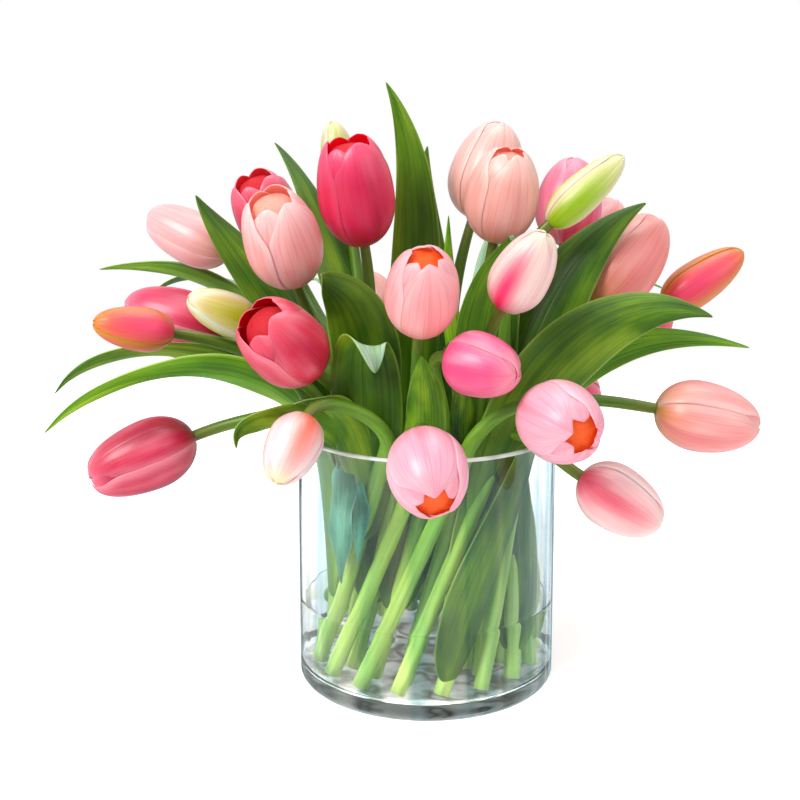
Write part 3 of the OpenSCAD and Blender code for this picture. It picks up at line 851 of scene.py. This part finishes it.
def leafMaterial(name, codes, underside):
    # Printed polyester cloth with a latex dip: soft sheen, raised parallel veins.
    material, tree = newMaterial(name)
    uv = addNode(tree, "UVMap")
    parts = addNode(tree, "SeparateXYZ", {"Vector": uv})
    side = fromMidline(tree, parts)
    zones = streaks(tree, uv, (leafStyle["span"] / leafStyle["zoneWidth"], 2.6, 1.0), Detail=3.0)
    if underside:
        stops = [(0.35, codes[0]), (0.5, codes[1]), (0.66, codes[2])]
    else:
        stops = [(0.32, codes[0]), (0.48, codes[1]), (0.68, codes[2])]
    tone = addNode(tree, "ValToRGB", {"Fac": zones}, stops=stops)
    ribsAcross = leafStyle["span"] / leafStyle["veinSpacing"]
    veins = streaks(tree, uv, (ribsAcross, 0.8, 1.0), Detail=2.0, Roughness=0.5)
    shade = addNode(tree, "ValToRGB", {"Fac": veins},
                    stops=[(0.34, "B9C4A4"), (0.5, "F2F4EC"), (0.62, "FFFFFF")])
    veined = addNode(tree, "Mix", {"Factor": 0.8, "A": tone.outputs["Color"], "B": shade.outputs["Color"]},
                     data_type="RGBA", blend_type="MULTIPLY")
    rim = addNode(tree, "MapRange", {
        "Value": side, "From Min": 0.90, "From Max": 1.0, "To Max": 0.7}, interpolation_type="SMOOTHSTEP")
    edged = addNode(tree, "Mix", {
        "Factor": rim.outputs["Result"], "A": veined, "B": colour(codes[-1])}, data_type="RGBA")
    rib = addNode(tree, "MapRange", {
        "Value": side, "From Min": 0.0, "From Max": 0.06}, interpolation_type="SMOOTHSTEP")
    height = addNode(tree, "Math", {0: rib.outputs["Result"], 1: 0.8, 2: veins}, operation="MULTIPLY_ADD")
    relief = addNode(tree, "Bump", {
        "Height": height, "Strength": 0.45, "Distance": leafStyle["veinDepth"] * mm})
    surface = addNode(tree, "BsdfPrincipled", {
        "Base Color": edged, "Roughness": leafStyle["roughness"], "Specular IOR Level": 0.35,
        "Subsurface Weight": 0.06, "Subsurface Radius": (0.6, 1.0, 0.05), "Subsurface Scale": 0.002,
        "Coat Weight": 0.05, "Coat Roughness": 0.35, "Normal": relief})
    addNode(tree, "OutputMaterial", {"Surface": surface})
    return material


def leafWidth(t):
    return 0.34 * (1 - t) + 1.02 * math.sin(math.pi * t ** 0.85) ** 0.9 * (1 - 0.25 * t) + 0.02


def leafStations(row, count):  # midrib points with their directions across and up, the tip bent over if asked
    host = tulips[row["host"] - 1]
    width, way, rollBase, rollTip = row["blade"]
    foot, gate = footOf(host), gateOf(host)
    root = foot + (gate - foot) * row["share"] + heading(way) * stems["footRadius"] * 0.9
    curve = [root] + [Vector(row[name]) + Vector((0, 0, vaseHeight)) for name in ("low", "middle", "tip")]
    across = heading(way + 90)
    stations = []
    point = curve[0].copy()
    for k in range(count + 1):
        t = k / count
        along = bezierSlope(curve, t).normalized()
        flat = (across - along * across.dot(along)).normalized()
        roll = math.radians(rollBase + (rollTip - rollBase) * t)
        wide = flat * math.cos(roll) + along.cross(flat) * math.sin(roll)
        bend = Matrix.Rotation(math.radians(row["bend"]) * smoothStep(t, 0.72, 1.0), 3, wide)
        if row["bend"] == 0 or t < 0.72:
            point = bezier(curve, t)
        else:
            step = (bezier(curve, t) - bezier(curve, t - 1 / count)).length
            point = point + (bend @ along) * step
        along = bend @ along
        stations.append((point, along, wide, along.cross(wide)))
    return stations


def makeLeaf(name, index, row, materials, replaced):
    rng = random.Random(300 + index)
    ripple = leafStyle["ripple"] * (0.7 if row["green"] == "deep" else 1.6)
    shape = bmesh.new()
    uvLayer = shape.loops.layers.uv.new("UVMap")
    count = leafStyle["along"]
    grid = bmesh.ops.create_grid(shape, x_segments=leafStyle["across"], y_segments=count, size=1)
    for face in shape.faces:
        for loop in face.loops:
            u = (loop.vert.co.x + 1) / 2 * 0.996 + 0.002
            loop[uvLayer].uv = (u + index, (loop.vert.co.y + 1) / 2)
    stations = leafStations(row, count)
    phases = [rng.uniform(0, math.tau) for _ in range(2)]
    for vert in grid["verts"]:
        x, t = vert.co.x, (vert.co.y + 1) / 2
        point, along, wide, face = stations[round(t * count)]
        half = row["blade"][0] * leafWidth(t) / 2
        cup = half * leafStyle["cup"] * x * x
        sign = 0 if x < 0 else 1
        wave = ripple * math.sin(t * 11 + phases[sign]) * abs(x) ** 3
        wave *= smoothStep(t, 0.15, 0.4) * smoothStep(1 - t, 0.02, 0.25) * min(1.0, half / 9)
        vert.co = point + wide * (x * half) + face * (cup + wave)
    leaf = makePiece(shape, name, materials, "bouquet", replaced)
    thicken(leaf, leafStyle["thickness"], 1, 0.0)


def makeLeaves():
    under = leafMaterial("latexDippedLeafUnderside", leafUndersides, True)
    tops = {name: leafMaterial("latexDippedLeaf_" + name, codes, False) for name, codes in greens.items()}
    for index, row in enumerate(leaves + sheaths):
        materials = [tops[row["green"]], under]
        if index < len(leaves):
            number = "{:02d}".format(index + 1)
            makeLeaf("leaf" + number, index, row, materials, ["leaf_" + number])
        else:  # a sheath is seen only through the glass and has no CAD node
            makeLeaf("sheath{:02d}".format(index + 1 - len(leaves)), index, row, materials, [])


makeLeaves()
print("leaves ready")
